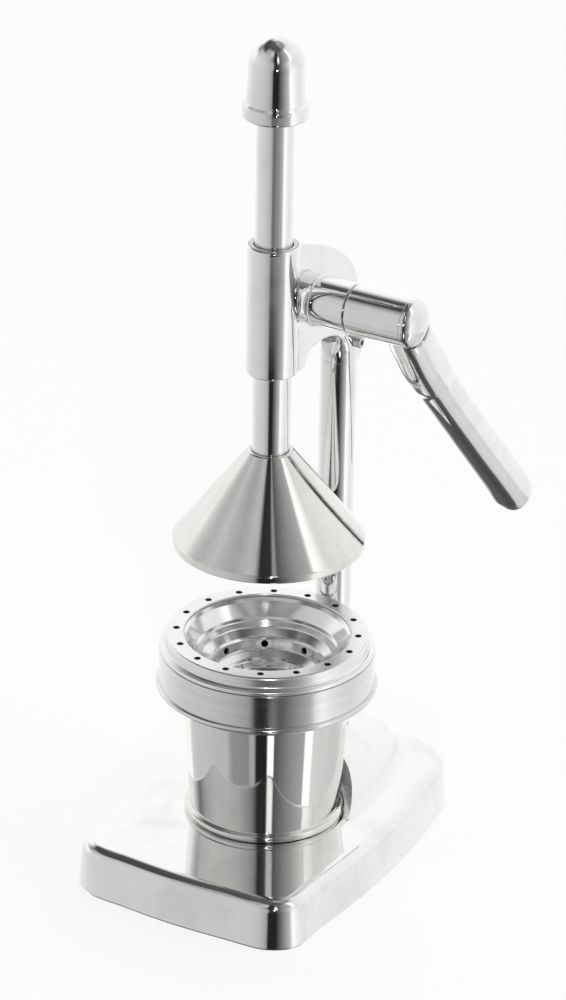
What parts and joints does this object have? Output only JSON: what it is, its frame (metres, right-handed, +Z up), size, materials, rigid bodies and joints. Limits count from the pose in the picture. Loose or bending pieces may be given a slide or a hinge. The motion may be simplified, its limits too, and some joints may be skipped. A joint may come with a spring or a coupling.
{
  "type": "lever citrus juice press",
  "caption": "Hand press for citrus juice: a lever turns a pinion that drives a ram, cone and splash bell down into a strainer on a cup, on a heavy base.",
  "frame": {"origin": "on the ram's axis, on the surface that the base's pad stands on", "axes": "+Z up along the ram; +X towards the side of the lever; the post is on +Y and the user stands at -Y"},
  "size_m": [0.1427, 0.2448, 0.4512],
  "materials": {
    "cast_chrome": "mirror-bright plating on a casting",
    "bar_chrome": "mirror-bright plating on turned bar",
    "polished_steel": "stainless steel, polished almost to a mirror",
    "brushed_steel": "stainless steel, brushed round its circumference",
    "satin_steel": "stainless steel, satin with fine turning lines",
    "machined_steel": "machined steel, lightly oiled",
    "bronze": "sintered bronze bush",
    "rubber": "matt black",
    "satin_aluminium": "cast aluminium, satin"
  },
  "bodies": {
    "frame": {"base_casting": "cast_chrome", "base_pad": "rubber", "post": "bar_chrome", "post_bolt": "machined_steel", "post_washer": "machined_steel", "head_casting": "cast_chrome", "guide_bush_upper": "machined_steel", "guide_bush_lower": "machined_steel", "post_clamp_screw": "machined_steel", "barrel_bush": "bronze", "bearing_cap": "cast_chrome"},
    "ram": {"ram_rod": "bar_chrome", "ram_knob": "bar_chrome", "press_bell": "polished_steel", "bell_washer": "machined_steel", "press_cone": "satin_aluminium"},
    "lever": {"pinion_shaft": "machined_steel", "thrust_washer": "machined_steel", "lever_arm": "cast_chrome", "hub_cap": "cast_chrome", "hub_screw": "machined_steel"},
    "cup": {"cup_body": "polished_steel", "cup_collar": "brushed_steel"},
    "strainer": {"strainer_ring": "satin_steel", "strainer_bowl": "satin_steel"}
  },
  "joints": [
    {"name": "lever_turn", "type": "hinge", "parent": "frame", "child": "lever", "pos_m": [0, 0.02035, 0.3086], "axis": [1, 0, 0], "range_deg": [-35, 229]},
    {"name": "ram_slide", "type": "slide", "parent": "frame", "child": "ram", "axis": [0, 0, 1], "range_m": [-0.0501, 0.0078]},
    {"name": "cup_slide", "type": "slide", "parent": "frame", "child": "cup", "axis": [0, -1, 0], "range_m": [0, 0.12]},
    {"name": "strainer_turn", "type": "hinge", "parent": "cup", "child": "strainer", "pos_m": [0, 0, 0.12], "axis": [0, 0, 1], "continuous": true}
  ],
  "couplings": [
    {"joint": "ram_slide", "follows": "lever_turn", "m_per_rad": -0.0125}
  ]
}
